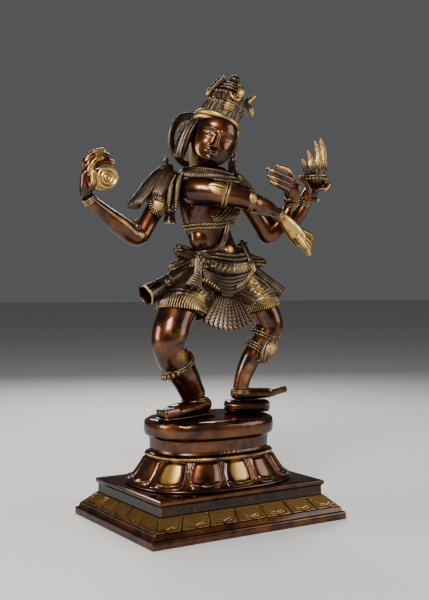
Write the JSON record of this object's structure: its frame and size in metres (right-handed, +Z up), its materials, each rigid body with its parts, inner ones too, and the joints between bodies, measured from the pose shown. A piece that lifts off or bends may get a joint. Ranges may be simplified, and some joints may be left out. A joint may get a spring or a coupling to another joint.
{
  "type": "nataraja statue",
  "caption": "Standing four-armed dancer figure in patinated brass on an oval drum, a lotus tier and a stepped rectangular plinth.",
  "frame": {"origin": "middle of the base's footprint, on the plinth's resting rim", "axes": "+Z up, the figure faces -Y, +X is the figure's left side"},
  "size_m": [0.2538, 0.142, 0.381],
  "materials": {
    "brown_lacquered_brass": "cast brass with a translucent dark brown patina lacquer, glossy, rubbed to orange and gold on raised places",
    "antique_brass": "cast brass with a dark grey-brown antique patina left in the chased lines and gold on the edges",
    "polished_brass": "cast brass rubbed back to bare polished metal, dark patina in the engraving",
    "zinc_plated_steel": "zinc plated threaded rod, washer and nut, dull"
  },
  "bodies": {
    "root": {"plinth": "brown_lacquered_brass", "lotus_tier": "brown_lacquered_brass", "oval_drum": "brown_lacquered_brass", "tie_stud": "zinc_plated_steel", "tie_washer": "zinc_plated_steel", "tie_nut": "zinc_plated_steel", "torso": "brown_lacquered_brass", "right_short": "antique_brass", "left_short": "antique_brass", "right_thigh": "brown_lacquered_brass", "left_thigh": "brown_lacquered_brass", "right_shin": "brown_lacquered_brass", "left_shin": "brown_lacquered_brass", "foot_block": "brown_lacquered_brass", "right_foot": "brown_lacquered_brass", "left_foot": "brown_lacquered_brass", "front_right_upper_arm": "brown_lacquered_brass", "front_right_forearm": "brown_lacquered_brass", "front_right_hand": "polished_brass", "front_left_upper_arm": "brown_lacquered_brass", "front_left_forearm": "brown_lacquered_brass", "front_left_hand": "brown_lacquered_brass", "rear_right_upper_arm": "brown_lacquered_brass", "rear_right_forearm": "brown_lacquered_brass", "rear_right_hand": "brown_lacquered_brass", "rear_left_upper_arm": "brown_lacquered_brass", "rear_left_forearm": "brown_lacquered_brass", "rear_left_hand": "brown_lacquered_brass", "head": "brown_lacquered_brass", "crown_band": "polished_brass", "crown": "antique_brass", "head_wheel_pin": "antique_brass", "head_wheel": "antique_brass", "crescent": "polished_brass", "datura_flower": "polished_brass", "crown_serpent": "polished_brass", "right_hair_lock": "antique_brass", "left_hair_lock": "antique_brass", "hair_fall": "antique_brass", "necklace": "antique_brass", "chest_band": "antique_brass", "front_right_armlet": "polished_brass", "front_right_elbow_band": "antique_brass", "rear_right_elbow_band": "antique_brass", "right_knee_band": "antique_brass", "left_knee_band": "antique_brass", "left_knee_bell": "antique_brass", "belt": "antique_brass", "apron_fan": "antique_brass", "right_sash_roll": "antique_brass", "left_sash_roll": "antique_brass", "right_sash_knot": "antique_brass", "left_sash_knot": "antique_brass", "belt_ribbon": "polished_brass", "right_shoulder_cape": "antique_brass", "right_shoulder_sash": "antique_brass", "left_shoulder_cape": "antique_brass", "hand_drum": "polished_brass", "flame_bowl": "antique_brass", "flame": "polished_brass"}
  },
  "joints": []
}
